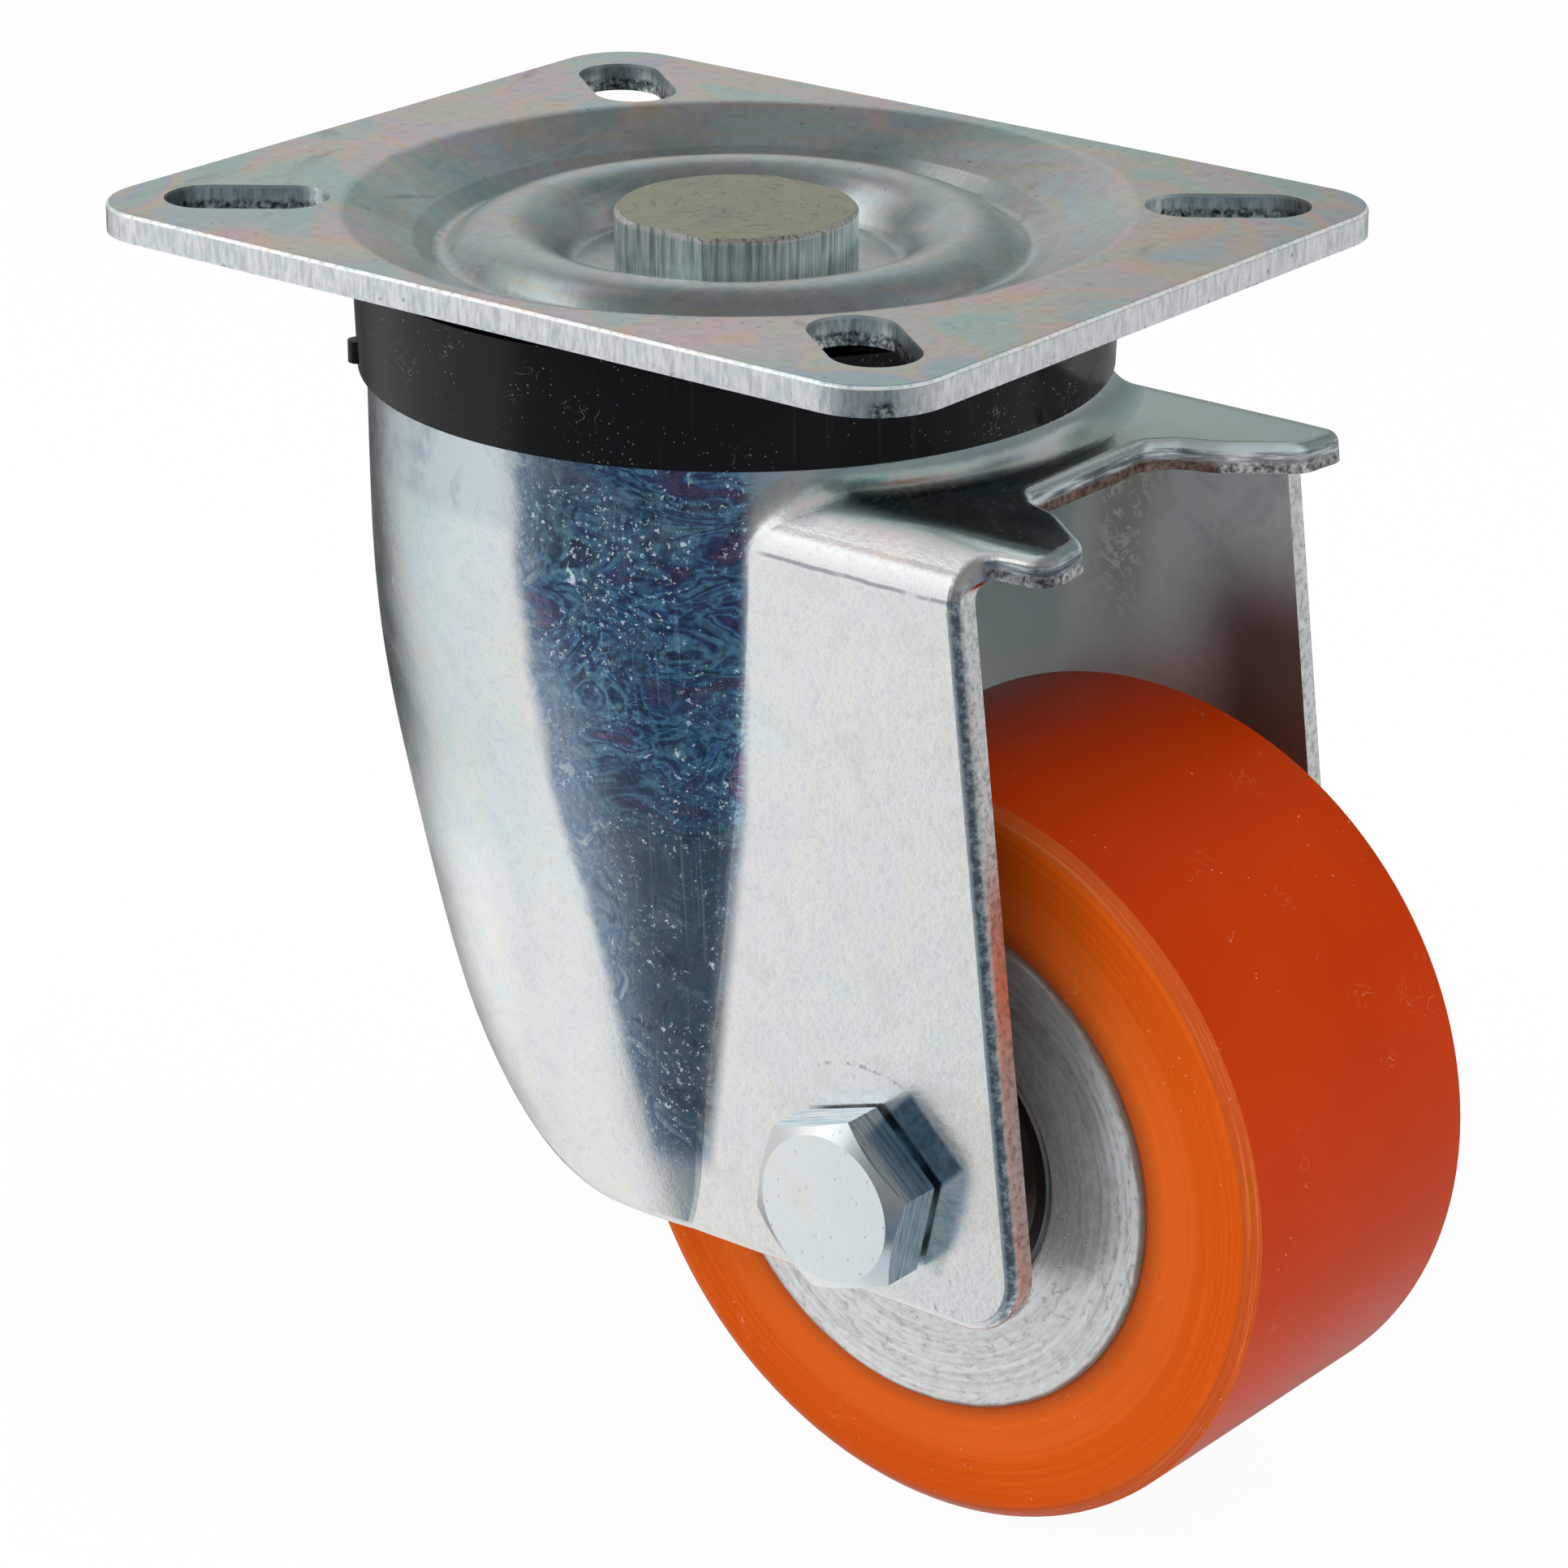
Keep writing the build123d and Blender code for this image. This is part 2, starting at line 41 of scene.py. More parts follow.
class Graph:
    """Short calls that build one node tree. Every call gives back a socket."""

    def __init__(self, owner):
        owner.use_nodes = True
        self.tree = owner.node_tree
        self.tree.nodes.clear()

    def put(self, kind, inputs=(), **settings):
        made = self.tree.nodes.new("ShaderNode" + kind)
        for name, value in settings.items():
            setattr(made, name, value)
        for key, value in dict(inputs).items():
            if isinstance(value, bpy.types.NodeSocket):
                self.tree.links.new(value, made.inputs[key])
            else:
                made.inputs[key].default_value = value
        return made

    def math(self, operation, a, b=0.0):
        return self.put("Math", {0: a, 1: b}, operation=operation).outputs[0]

    def fold(self, operation, first, *others):
        for other in others:
            first = self.math(operation, first, other)
        return first

    def add(self, *terms):
        return self.fold("ADD", *terms)

    def sub(self, a, b):
        return self.math("SUBTRACT", a, b)

    def mul(self, *factors):
        return self.fold("MULTIPLY", *factors)

    def max(self, *values):
        return self.fold("MAXIMUM", *values)

    def abs(self, value):
        return self.math("ABSOLUTE", value)

    def cos(self, angle):
        return self.math("COSINE", angle)

    def sin(self, angle):
        return self.math("SINE", angle)

    def step(self, value, low, high):
        """0 below low, 1 above high and smooth between; the other way round when high is the smaller."""
        made = self.put("MapRange", {0: value, 1: min(low, high), 2: max(low, high)},
                        interpolation_type="SMOOTHSTEP")
        if high < low:
            made.inputs[3].default_value = 1.0
            made.inputs[4].default_value = 0.0
        return made.outputs[0]

    def range(self, value, a, b, c, d):
        return self.put("MapRange", {0: value, 1: a, 2: b, 3: c, 4: d}).outputs[0]

    def mix(self, share, a, b, blend="MIX"):
        made = self.put("Mix", {0: share, 6: colour(a), 7: colour(b)}, data_type="RGBA", blend_type=blend)
        return made.outputs[2]

    def ramp(self, value, *stops):
        made = self.put("ValToRGB", {0: value})
        elements = made.color_ramp.elements
        while len(elements) < len(stops):
            elements.new(0.5)
        for element, (place, shade) in zip(elements, stops):
            element.position = place
            element.color = colour(shade)
        return made.outputs[0]

    def where(self):
        return self.put("TexCoord").outputs["Object"]

    def stretch(self, vector, scale, turn=(0, 0, 0), shift=(0, 0, 0)):
        return self.put("Mapping", {0: vector, 1: shift, 2: turn, 3: scale}).outputs[0]

    def noise(self, vector, scale, detail=3.0, rough=0.5, bend=0.0):
        made = self.put("TexNoise", {"Vector": vector, "Scale": scale, "Detail": detail, "Roughness": rough,
                                     "Distortion": bend})
        return made.outputs[0]

    def cells(self, vector, scale):
        return self.put("TexVoronoi", {"Vector": vector, "Scale": scale}).outputs[0]

    def axes(self, vector):
        return self.put("SeparateXYZ", {0: vector}).outputs

    def join(self, x, y, z):
        return self.put("CombineXYZ", {0: x, 1: y, 2: z}).outputs[0]

    def radius(self, a, b):
        return self.math("SQRT", self.add(self.mul(a, a), self.mul(b, b)))

    def bump(self, height, depth, normal=None):
        inputs = {"Strength": 1.0, "Distance": depth, "Height": height}
        if normal is not None:
            inputs["Normal"] = normal
        return self.put("Bump", inputs).outputs[0]

    def surface(self, **inputs):
        shader = self.put("BsdfPrincipled", {k.replace("_", " "): v for k, v in inputs.items()})
        out = self.put("OutputMaterial")
        self.tree.links.new(shader.outputs[0], out.inputs[0])


def colour(value):
    """A socket, a grey or an RGB triple as what a colour input takes."""
    if isinstance(value, bpy.types.NodeSocket):
        return value
    if isinstance(value, (int, float)):
        return (value, value, value, 1.0)
    return (*value, 1.0)


def material(name):
    made = bpy.data.materials.new(name)
    return made, Graph(made)


# ------------------------------------------------------------------ finishes

def speckle(g, where, scale, low, high):
    """Scattered small spots: 1 inside a spot."""
    return g.step(g.cells(where, scale), high, low)


def hairs(g, where, turn, scale, low, high, patch=60.0):
    """Fine straight lines across the surface, a few at a time."""
    lines = g.noise(g.stretch(where, (scale, scale / 60, scale / 60), turn), 1.0, 2.0, 0.4)
    return g.mul(g.step(lines, low, high), g.step(g.noise(where, patch, 2.0), 0.48, 0.60))


def wandering(g, where, scale, width, bend=1.5):
    """Thin curved lines, where a slow noise passes through its middle."""
    value = g.noise(where, scale, 1.0, 0.5, bend)
    return g.step(g.abs(g.sub(value, 0.5)), width, width * 0.3)


def own_normal(g):
    """Normal in the piece's own axes, which turn with it."""
    return g.axes(g.put("TexCoord").outputs["Normal"])


def turned_path(g, radius, angle, across, along):
    """A vector that changes fast across a turning tool's path and slowly along it."""
    return g.join(g.mul(radius, across), g.mul(g.cos(angle), along), g.mul(g.sin(angle), along))


def plate_zinc():
    made, g = material("plate zinc, passivated")
    where = g.where()
    x, y, z = g.axes(where)
    large = g.noise(where, 26.0, 2.0, 0.5, 1.4)
    drift = g.noise(g.stretch(where, (1, 1, 1), shift=(0.3, 0.1, 0)), 40.0, 2.0, 0.5, 1.8)
    tint = g.ramp(large, (0.32, (0.62, 0.80, 0.78)), (0.44, (0.74, 0.84, 0.78)), (0.49, (0.92, 0.80, 0.64)),
                  (0.53, (1.0, 0.70, 0.62)), (0.57, (0.76, 0.70, 0.90)), (0.64, (0.60, 0.80, 0.84)))
    film = g.ramp(drift, (0.36, (0.50, 0.76, 0.75)), (0.45, (0.70, 0.80, 0.73)),
                  (0.495, (0.96, 0.70, 0.49)), (0.53, (0.92, 0.60, 0.74)), (0.57, (0.51, 0.66, 0.93)),
                  (0.66, (0.48, 0.82, 0.74)))
    base = g.mix(0.56, tint, film)
    out = g.radius(x, y)
    collar = g.mul(g.step(out, DISH_LIP - 0.007, DISH_LIP), g.step(out, DISH_LIP + 0.018, DISH_LIP + 0.009),
                   g.step(drift, 0.47, 0.55))
    base = g.mix(g.mul(collar, 0.55), base,
                 g.ramp(large, (0.40, (1.0, 0.80, 0.66)), (0.60, (0.96, 0.78, 0.82))))
    middle = g.step(out, DISH_LIP + 0.001, DISH_LIP - 0.009)
    base = g.mix(g.mul(middle, 0.70), base,
                 g.ramp(drift, (0.36, (0.50, 0.60, 0.62)), (0.60, (0.70, 0.80, 0.80))))
    arcs = g.noise(turned_path(g, out, g.math("ARCTAN2", y, x), 700.0, 1.4), 1.0, 3.0, 0.6)
    arcs = g.mul(g.step(arcs, 0.53, 0.62), g.step(out, 0.0200, 0.0230),
                 g.step(out, DISH_LIP - 0.001, DISH_LIP - 0.005))
    base = g.mix(g.mul(arcs, 0.45), base, (0.80, 0.74, 0.58))
    smears = g.noise(g.stretch(where, (1.0, 0.35, 1.0), (0, 0, 0.5)), 90.0, 4.0, 0.65, 2.0)
    smears = g.step(smears, 0.60, 0.72)
    base = g.mix(g.mul(smears, 0.44), base, (0.38, 0.29, 0.22))
    fine = g.noise(where, 700.0, 3.0, 0.6)
    base = g.mix(1.0, base, g.ramp(fine, (0.36, 0.90), (0.60, 1.0)), "MULTIPLY")
    spots = g.mul(speckle(g, where, 420.0, 0.06, 0.13), g.step(g.noise(where, 80.0), 0.45, 0.60))
    lines = hairs(g, where, (0, 0, 0.5), 2600.0, 0.60, 0.66)
    lines = g.max(lines, hairs(g, where, (0, 0, -0.9), 2100.0, 0.61, 0.67, 48.0))
    lines = g.max(lines, g.mul(wandering(g, where, 90.0, 0.0035), 0.7))
    # sheared edge: burnished above and torn below
    flat = g.abs(own_normal(g)["Z"])
    edge = g.step(flat, 0.45, 0.25)
    shear = g.noise(g.stretch(where, (1900, 1900, 420)), 1.0, 4.0, 0.7)
    crumb = g.noise(where, 1500.0, 4.0, 0.7)
    burnished_end = 0.0016
    torn = g.step(g.add(z, g.mul(g.noise(where, 260.0, 3.0, 0.6), burnished_end)), -burnished_end, -0.0024)
    cut = g.mix(torn,
                g.ramp(shear, (0.36, (0.62, 0.69, 0.73)), (0.50, (0.82, 0.87, 0.90)),
                       (0.62, (0.98, 1.0, 1.0))),
                g.ramp(crumb, (0.34, (0.40, 0.47, 0.51)), (0.46, (0.76, 0.82, 0.86)),
                       (0.62, (0.96, 0.99, 1.0))))
    base = g.mix(edge, base, cut)
    # painted highlight: a near white, less metallic line along the rounded top edge outside the dish
    painted_arris_highlight = g.mul(g.step(flat, 0.22, 0.40), g.step(flat, 0.97, 0.85),
                  g.step(out, DISH_LIP - 0.0005, DISH_LIP))
    base = g.mix(g.mul(painted_arris_highlight, g.step(crumb, 0.40, 0.52)), base, (0.96, 0.99, 1.0))
    # walls of the four slots: punched, dark and crumbly below, with a painted highlight along the top edge
    inside_x = g.step(g.abs(x), PLATE_HALF_LENGTH - 0.001, PLATE_HALF_LENGTH - 0.002)
    inside_y = g.step(g.abs(y), PLATE_HALF_WIDTH - 0.001, PLATE_HALF_WIDTH - 0.002)
    slot = g.mul(edge, inside_x, inside_y)
    punched = g.mix(g.step(g.add(z, g.mul(shear, 0.0010)), -0.0008, -0.0014),
                    g.ramp(shear, (0.34, (0.40, 0.48, 0.50)), (0.62, (0.84, 0.92, 0.94))),
                    g.ramp(crumb, (0.38, (0.03, 0.04, 0.04)), (0.50, (0.26, 0.31, 0.32)),
                           (0.62, (0.86, 0.92, 0.92))))
    # painted highlight: near white along the top edge of each slot wall
    punched = g.mix(g.step(z, -0.00045, -0.00025), punched, (0.86, 0.92, 0.92))
    base = g.mix(slot, base, punched)
    base = g.mix(g.mul(spots, 0.55), base, (0.20, 0.19, 0.17))
    base = g.mix(g.mul(lines, 0.35), base, (0.88, 0.92, 0.92))
    rough = g.add(g.range(drift, 0.3, 0.7, 0.18, 0.27), g.mul(edge, 0.14), g.mul(smears, 0.08))
    grain = g.noise(where, 2400.0, 2.0, 0.6)
    crumbly = g.mul(g.step(z, -burnished_end, -0.0024), crumb)
    height = g.add(g.mul(grain, 0.7), g.mul(edge, g.add(shear, crumbly), 5.0))
    height = g.add(height, g.mul(fine, 0.7))
    g.surface(Base_Color=base, Metallic=g.sub(1.0, g.mul(painted_arris_highlight, 0.5)), Roughness=rough,
              Normal=g.bump(height, depth=0.000008))
    return made


def kingpin_steel():
    made, g = material("kingpin steel, zinc plated")
    where = g.where()
    flat = g.abs(own_normal(g)["Z"])
    side = g.step(flat, 0.6, 0.4)
    large = g.noise(where, 90.0, 3.0, 0.6)
    base = g.ramp(large, (0.35, (0.41, 0.47, 0.34)), (0.52, (0.53, 0.52, 0.37)), (0.68, (0.43, 0.52, 0.41)))
    x, y, z = g.axes(where)
    turned = g.noise(turned_path(g, g.radius(x, y), g.math("ARCTAN2", y, x), 1500.0, 3.0), 1.0, 3.0, 0.6)
    cracks = g.max(g.step(turned, 0.57, 0.66), g.mul(wandering(g, where, 120.0, 0.007, 1.5), 0.9))
    base = g.mix(g.mul(cracks, 0.60), base, (0.24, 0.20, 0.13))
    mottle = g.noise(where, 800.0, 3.0, 0.65)
    base = g.mix(1.0, base, g.ramp(mottle, (0.36, 0.94), (0.60, 1.0)), "MULTIPLY")
    lines = g.noise(g.stretch(where, (2300, 2300, 110)), 1.0, 4.0, 0.65)
    walls = g.ramp(lines, (0.38, (0.36, 0.45, 0.45)), (0.47, (0.56, 0.69, 0.69)),
                   (0.55, (0.70, 0.82, 0.82)), (0.62, (0.94, 1.0, 1.0)))
    base = g.mix(side, base, walls)
    # painted highlight: near white on the head's chamfer, just below its top
    below_top = g.abs(g.sub(z, HEAD_TOP - 0.00025))
    painted_brim_highlight = g.mul(g.step(below_top, 0.00045, 0.00025), g.step(flat, 0.97, 0.85))
    base = g.mix(g.mul(painted_brim_highlight, g.step(lines, 0.40, 0.50)), base, (1.0, 1.0, 0.98))
    marks = hairs(g, where, (0, 0, 0.6), 2600.0, 0.58, 0.64)
    marks = g.max(marks, hairs(g, where, (0, 0, -0.5), 2000.0, 0.60, 0.66, 90.0))
    dots = speckle(g, where, 520.0, 0.06, 0.14)
    base = g.mix(g.mul(marks, 0.15), base, (0.95, 0.95, 0.90))
    base = g.mix(g.mul(dots, 0.12), base, (0.24, 0.22, 0.16))
    grain = g.noise(where, 1700.0, 3.0, 0.6)
    height = g.sub(g.add(grain, g.mul(side, lines, 3.0)), g.add(marks, dots))
    rough = g.sub(g.range(large, 0.3, 0.7, 0.28, 0.38), g.mul(side, 0.10))
    g.surface(Base_Color=base, Metallic=g.sub(1.0, g.mul(side, 0.25)), Roughness=rough,
              Normal=g.bump(height, depth=0.00001))
    return made


def oxide_film_and_painted_reflection(g, at, cloud, haze, base):
    """Blue and purple film over the rounded sides, where the sheet was stretched most, set dark as a painted
    dark reflection, and its mask.
    """
    where, x, z, out = at.where, at.x, at.z, at.out
    slope = g.max(g.mul(g.sub(-0.052, z), 0.26), 0.0)
    left = g.sub(x, slope)
    band = g.mul(g.step(g.sub(left, g.mul(haze, 0.003)), 0.0004, 0.0026),
                 g.step(g.add(x, g.mul(slope, 0.46)), 0.0260, 0.0240))
    band = g.mul(band, g.step(out, 0.0255, 0.0285), g.step(z, FILM_END - 0.004, FILM_END))
    low = g.step(g.add(z, g.mul(cloud, 0.016)), -0.038, -0.052)
    film = g.noise(g.stretch(where, (1, 1, 1.7)), 100.0, 3.5, 0.58, 1.3)
    # the film's real tints, kept dark as a painted dark reflection
    upper = g.ramp(film, (0.32, (0.10, 0.12, 0.24)), (0.38, (0.30, 0.15, 0.34)), (0.43, (0.10, 0.10, 0.30)),
                   (0.47, (0.16, 0.36, 0.70)), (0.50, (0.36, 0.78, 1.0)), (0.525, (0.14, 0.26, 0.50)),
                   (0.55, (0.07, 0.10, 0.26)), (0.58, (0.22, 0.50, 0.80)), (0.62, (0.42, 0.84, 0.94)),
                   (0.67, (0.10, 0.14, 0.28)))
    fringe = wandering(g, g.stretch(where, (1, 1, 2.4)), 130.0, 0.018, 2.0)
    fringe = g.mul(fringe, g.step(x, 0.0110, 0.0150), g.step(g.add(z, g.mul(cloud, 0.01)), -0.029, -0.033))
    upper = g.mix(g.mul(fringe, 0.7), upper, (0.40, 0.82, 0.96))
    fine = g.noise(where, 950.0, 3.0, 0.7)
    upper = g.mix(1.0, upper, g.ramp(fine, (0.38, 0.50), (0.54, 1.0)), "MULTIPLY")
    grey = g.noise(where, 190.0, 4.0, 0.7, 1.0)
    # painted dark reflection: plain dark grey on the lower part of the band, and a bluer one towards the
    # front
    lower = g.ramp(grey, (0.36, (0.12, 0.14, 0.17)), (0.48, (0.26, 0.29, 0.32)), (0.55, (0.16, 0.24, 0.31)),
                   (0.64, (0.38, 0.42, 0.46)))
    painted_reflection_blue = g.ramp(grey, (0.36, (0.13, 0.18, 0.27)), (0.47, (0.30, 0.39, 0.50)), (0.55, (0.16, 0.25, 0.40)),
                   (0.63, (0.52, 0.61, 0.67)))
    blue = g.step(g.add(left, g.mul(g.sub(cloud, 0.5), 0.024)), 0.0035, 0.0110)
    # painted dark reflection with real tints, laid over the band
    base = g.mix(g.mul(band, 0.92), base, g.mix(blue, painted_reflection_blue, g.mix(low, upper, lower)))
    veil = g.mul(g.step(g.noise(where, 85.0, 4.0, 0.65, 0.8), 0.46, 0.62), g.step(z, -0.052, -0.030))
    base = g.mix(g.mul(veil, band, 0.60), base,
                 g.ramp(fine, (0.38, (0.22, 0.30, 0.40)), (0.60, (0.52, 0.62, 0.70))))
    return base, band


def outward(g, at):
    """1 on the outer faces of both legs and -1 on their inner faces."""
    return g.mul(g.math("SIGN", at.y), at.ny)


def pale_deposits(g, at, band):
    """Flecks, dabs and fine scratches, thickest on the film and most of all at its top."""
    where, z = at.where, at.z
    upward = g.step(z, -0.040, -0.027)
    grains = g.add(g.noise(where, 1700.0, 3.0, 0.75), g.mul(upward, 0.018))
    groups = g.add(g.noise(where, 150.0, 3.0), g.mul(upward, 0.05))
    flecks = g.mul(g.step(grains, 0.60, 0.66), g.step(groups, 0.42, 0.56))
    dabs = g.noise(g.stretch(where, (1, 1, 0.8), shift=(0.2, 0, 0)), 420.0, 4.0, 0.65, 0.6)
    dabs = g.mul(g.step(dabs, 0.66, 0.70), g.step(g.noise(where, 60.0, 2.0), 0.44, 0.56))
    hair = g.max(hairs(g, where, (0, 0.35, 0.2), 2700.0, 0.64, 0.69, 75.0),
                 hairs(g, where, (0, -0.9, 0.1), 2300.0, 0.64, 0.69, 95.0))
    hair = g.max(hair, g.mul(wandering(g, where, 120.0, 0.003), 0.6))
    deposit = g.max(flecks, dabs, g.mul(hair, 0.12))
    deposit = g.mul(deposit, g.add(0.10, g.mul(band, 0.80)))
    deposit = g.mul(deposit, g.step(outward(g, at), -0.40, -0.10))
    return deposit


def bolt_reflections_and_marks(g, at, base):
    """Painted reflections of the bolt head's flats on the leg beside it, a spanner's scraped arc, and a
    scuff at the leg's front corner.
    """
    where, x, y, z = at.where, at.x, at.y, at.z
    dx, dz = g.sub(x, AXLE_X), g.sub(z, AXLE_Z)
    away = g.radius(dx, dz)
    worn = g.noise(where, 900.0, 4.0, 0.7)
    ragged = g.mul(worn, 0.0010)

    def flat_band(across_x, across_z, outer, left, right):
        """Painted reflection of one flat of the hexagon, on the leg beside it."""
        reach = g.add(g.mul(dx, across_x), g.mul(dz, across_z), ragged)
        along = g.sub(g.mul(dx, across_z), g.mul(dz, across_x))
        radial = g.mul(g.step(reach, outer, outer - 0.0008), g.step(reach, 0.0040, 0.0060))
        return g.mul(radial, g.step(along, left, left + 0.0008), g.step(along, right, right - 0.0008))

    # painted reflection of the head's upper flat, dark blue
    stain = flat_band(0.69, 0.72, 0.0134, -0.0044, 0.0054)
    base = g.mix(g.mul(stain, 0.88), base,
                 g.ramp(worn, (0.42, (0.06, 0.16, 0.27)), (0.58, (0.18, 0.34, 0.48))))
    # painted reflection of the head's right flat, pale green grey
    stain = flat_band(0.98, -0.21, 0.0120, -0.0048, 0.0052)
    base = g.mix(g.mul(stain, 0.60), base,
                 g.ramp(worn, (0.42, (0.44, 0.56, 0.56)), (0.58, (0.64, 0.72, 0.70))))
    mark = g.mul(g.step(g.abs(g.sub(away, SPANNER_REACH)), 0.00028, 0.00010), g.step(dz, 0.0105, 0.0125))
    mark = g.mul(mark, g.step(worn, 0.46, 0.54))
    scuff = g.step(g.noise(g.stretch(where, (700, 700, 260), (0, 0.3, 0)), 1.0, 4.0, 0.65), 0.58, 0.64)
    scuff = g.mul(g.step(g.radius(g.sub(x, 0.0495), g.add(z, 0.0960)), 0.0036, 0.0022), scuff)
    mark = g.mul(g.max(mark, scuff), g.step(y, -0.027, -0.029))
    base = g.mix(g.mul(mark, 0.6), base, (0.22, 0.22, 0.22))
    return base


def bend_crease(g, at, cloud, haze, base):
    """Crease where the bend runs out into the leg, as a painted shade line and a raised strip."""
    x, z, out = at.x, at.z, at.out
    line = g.add(g.sub(z, BEND_LINE), g.mul(g.sub(cloud, 0.5), 0.0016))
    crease = g.mul(g.step(x, 0.0256, 0.0280), g.step(x, 0.0520, 0.0490), g.step(out, 0.0280, 0.0288))
    # painted shade: a dark line along the crease
    dark = g.mul(crease, g.step(g.abs(line), 0.00030, 0.00010), g.step(haze, 0.36, 0.50))
    base = g.mix(g.mul(dark, 0.60), base, (0.13, 0.19, 0.25))
    raised = g.mul(crease, g.step(z, BEND_LINE - 0.0005, BEND_LINE + 0.0003))
    return base, raised


def inner_faces(g, at, cloud, haze, base):
    """Dull inner faces with pale worm marks and a brown stain, painted light deep inside and painted shade
    with the wheel's reflection low at the front; their mask, and how deep they lie.
    """
    where, x, z = at.where, at.x, at.z
    inner = g.step(outward(g, at), -0.15, -0.50)
    worm = g.step(g.noise(where, 420.0, 4.0, 0.72, 2.0), 0.51, 0.57)
    patch = g.step(g.add(g.abs(g.sub(x, 0.0300)), g.mul(cloud, 0.010)), 0.0115, 0.0060)
    patch = g.mul(patch, g.step(z, -0.052, -0.038))
    dull = g.ramp(haze, (0.36, (0.66, 0.80, 0.84)), (0.50, (0.78, 0.93, 0.97)), (0.62, (0.74, 0.87, 0.88)))
    deep = g.step(x, 0.040, 0.026)
    # painted light: the deep back of the inner faces, where little light reaches, is made paler and bluer
    dull = g.mix(g.mul(deep, 0.8), dull, (0.84, 1.0, 1.0))
    dull = g.mix(g.mul(patch, 0.65), dull, (0.40, 0.37, 0.31))
    # painted shade and painted reflection of the wheel: dark reddish brown on the inner faces, low towards
    # the front
    dull = g.mix(g.mul(g.step(x, 0.0360, 0.0470), g.step(z, -0.030, -0.044), 0.9), dull, (0.11, 0.06, 0.05))
    dull = g.mix(g.mul(patch, worm, 0.8), dull, (0.95, 1.0, 0.98))
    base = g.mix(inner, base, dull)
    return base, inner, deep


def sheared_edges(g, at, base):
    """Burnished above, torn and rusty below on the shelf, bare and grainy on the legs."""
    where, x, z, nx, nz, out = at.where, at.x, at.z, at.nx, at.nz, at.out
    front = g.step(x, LEG_FRONT - 0.0002, LEG_FRONT + 0.0002)
    forward = g.abs(nx)
    leg_edge = g.mul(g.step(forward, 0.80, 0.93), g.step(z, -0.0215, -0.0235))
    shelf_edge = g.mul(g.step(g.abs(nz), 0.42, 0.25), g.step(z, -0.0240, -0.0225),
                       g.step(out, 0.0268, 0.0262))
    torn = g.noise(where, 1300.0, 3.0, 0.7)
    bare = g.ramp(torn, (0.34, (0.50, 0.53, 0.53)), (0.48, (0.82, 0.86, 0.86)), (0.62, (1.0, 1.0, 1.0)))
    rolled = g.noise(g.stretch(where, (160, 160, 1800)), 1.0, 4.0, 0.65)
    shelf = g.ramp(rolled, (0.36, (0.12, 0.15, 0.18)), (0.50, (0.40, 0.46, 0.50)),
                   (0.60, (0.82, 0.88, 0.90)))
    shelf = g.mix(g.step(z, SHELF_TOP - 0.0007, SHELF_TOP - 0.0004), shelf, (0.94, 0.98, 1.0))
    lowest = g.ramp(torn, (0.40, (0.10, 0.06, 0.05)), (0.70, (0.34, 0.25, 0.20)))
    lowest = g.mix(g.step(x, 0.0500, 0.0515), lowest,
                   g.ramp(torn, (0.38, (0.12, 0.13, 0.15)), (0.62, (0.70, 0.70, 0.68))))
    shelf = g.mix(g.step(z, SHELF_TOP - 0.0016, SHELF_TOP - 0.0022), shelf, lowest)
    base = g.mix(g.mul(front, leg_edge), base, bare)
    base = g.mix(g.mul(front, shelf_edge), base, shelf)
    cut = g.mul(front, g.max(leg_edge, shelf_edge))
    rim = g.mul(front, g.step(forward, 0.15, 0.50), g.step(forward, 0.96, 0.80))
    speckled = g.ramp(torn, (0.38, (0.08, 0.11, 0.15)), (0.50, (0.24, 0.30, 0.38)),
                      (0.60, (0.80, 0.86, 0.90)))
    base = g.mix(g.mul(rim, g.step(z, -0.0215, -0.0250), 0.80), base, speckled)
    return base, cut, g.mul(g.add(g.mul(cut, 1.6), g.mul(rim, 5.0)), torn)


